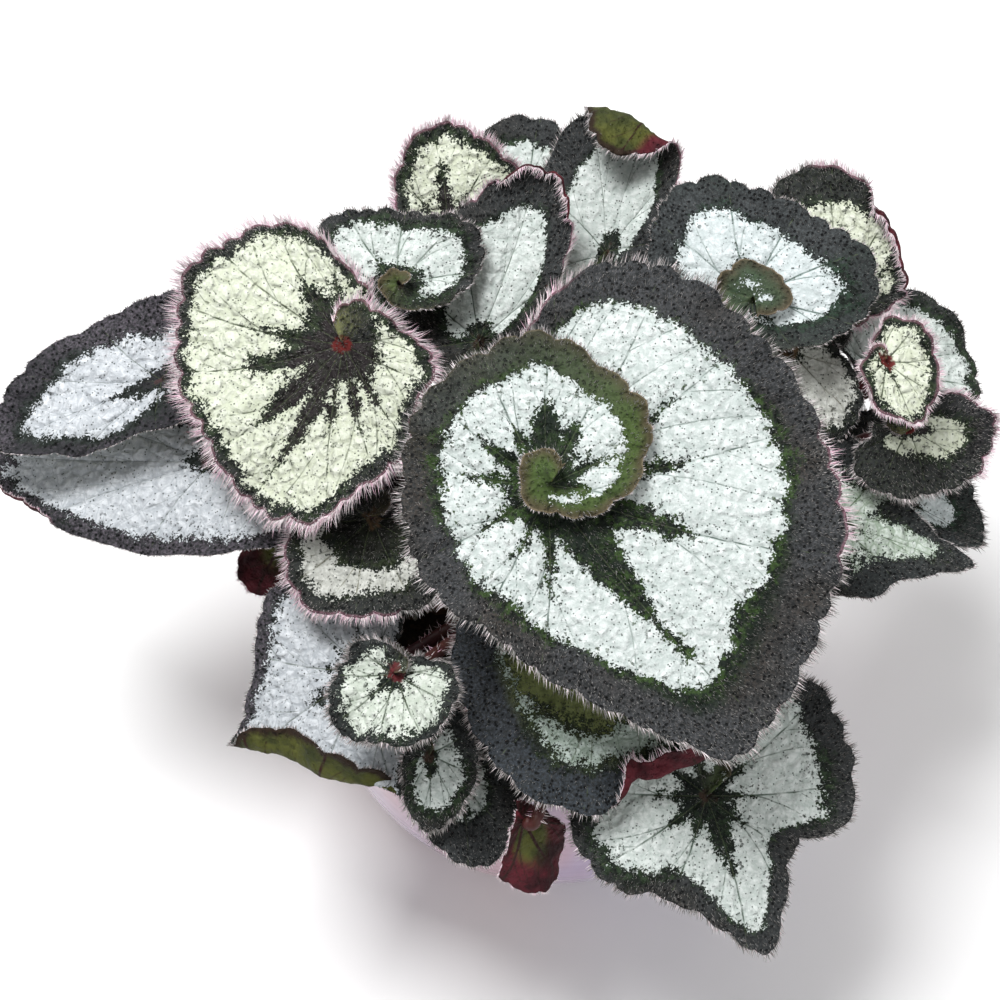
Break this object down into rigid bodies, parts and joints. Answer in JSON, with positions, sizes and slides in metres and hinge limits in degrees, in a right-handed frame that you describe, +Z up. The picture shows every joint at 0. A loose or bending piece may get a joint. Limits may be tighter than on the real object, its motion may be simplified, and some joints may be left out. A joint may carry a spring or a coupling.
{
  "type": "potted rex begonia",
  "caption": "Rex begonia with silver, dark-edged spiral leaves on hairy red stalks, growing in a round-bellied glazed pot.",
  "frame": {"origin": "centre of the pot's flat base, on the surface it stands on", "axes": "+Z up, -Y towards the viewer of the picture, +X to the viewer's right, the longest extent"},
  "size_m": [0.336, 0.2783, 0.2478],
  "materials": {
    "glaze": "pale pink glazed ceramic with a lavender shine",
    "soil": "crumbly dark potting soil",
    "rhizome": "knobbly reddish-brown creeping stem",
    "blade": "puckered leaf: silver centre, dark green star and border, red-olive underside, pink-white hairs",
    "stalk": "fleshy pink-red leaf stalk with fine hairs"
  },
  "bodies": {
    "root": {"pot": "glaze", "soil": "soil", "rhizome": "rhizome", "leaf_crown_blade": "blade", "leaf_crown_stalk": "stalk", "leaf_left_blade": "blade", "leaf_left_stalk": "stalk", "leaf_young_left_blade": "blade", "leaf_young_left_stalk": "stalk", "leaf_right_rear_blade": "blade", "leaf_right_rear_stalk": "stalk", "leaf_rear_silver_blade": "blade", "leaf_rear_silver_stalk": "stalk", "leaf_rear_pink_blade": "blade", "leaf_rear_pink_stalk": "stalk", "leaf_rear_dark_blade": "blade", "leaf_rear_dark_stalk": "stalk", "leaf_rear_turned_blade": "blade", "leaf_rear_turned_stalk": "stalk", "leaf_rear_peak_blade": "blade", "leaf_rear_peak_stalk": "stalk", "leaf_right_silver_blade": "blade", "leaf_right_silver_stalk": "stalk", "leaf_right_young_blade": "blade", "leaf_right_young_stalk": "stalk", "leaf_right_inner_blade": "blade", "leaf_right_inner_stalk": "stalk", "leaf_right_hairy_blade": "blade", "leaf_right_hairy_stalk": "stalk", "leaf_right_low_blade": "blade", "leaf_right_low_stalk": "stalk", "leaf_right_front_blade": "blade", "leaf_right_front_stalk": "stalk", "leaf_front_right_blade": "blade", "leaf_front_right_stalk": "stalk", "leaf_front_blade": "blade", "leaf_front_stalk": "stalk", "leaf_front_left_blade": "blade", "leaf_front_left_stalk": "stalk", "leaf_young_front_blade": "blade", "leaf_young_front_stalk": "stalk", "leaf_front_small_blade": "blade", "leaf_front_small_stalk": "stalk", "leaf_front_dark_blade": "blade", "leaf_front_dark_stalk": "stalk", "leaf_hanging_blade": "blade", "leaf_hanging_stalk": "stalk", "leaf_left_under_blade": "blade", "leaf_left_under_stalk": "stalk", "leaf_left_hanging_blade": "blade", "leaf_left_hanging_stalk": "stalk", "leaf_far_left_rear_blade": "blade", "leaf_far_left_rear_stalk": "stalk", "leaf_far_left_front_blade": "blade", "leaf_far_left_front_stalk": "stalk", "leaf_back_left_blade": "blade", "leaf_back_left_stalk": "stalk", "leaf_back_right_blade": "blade", "leaf_back_right_stalk": "stalk"}
  },
  "joints": []
}
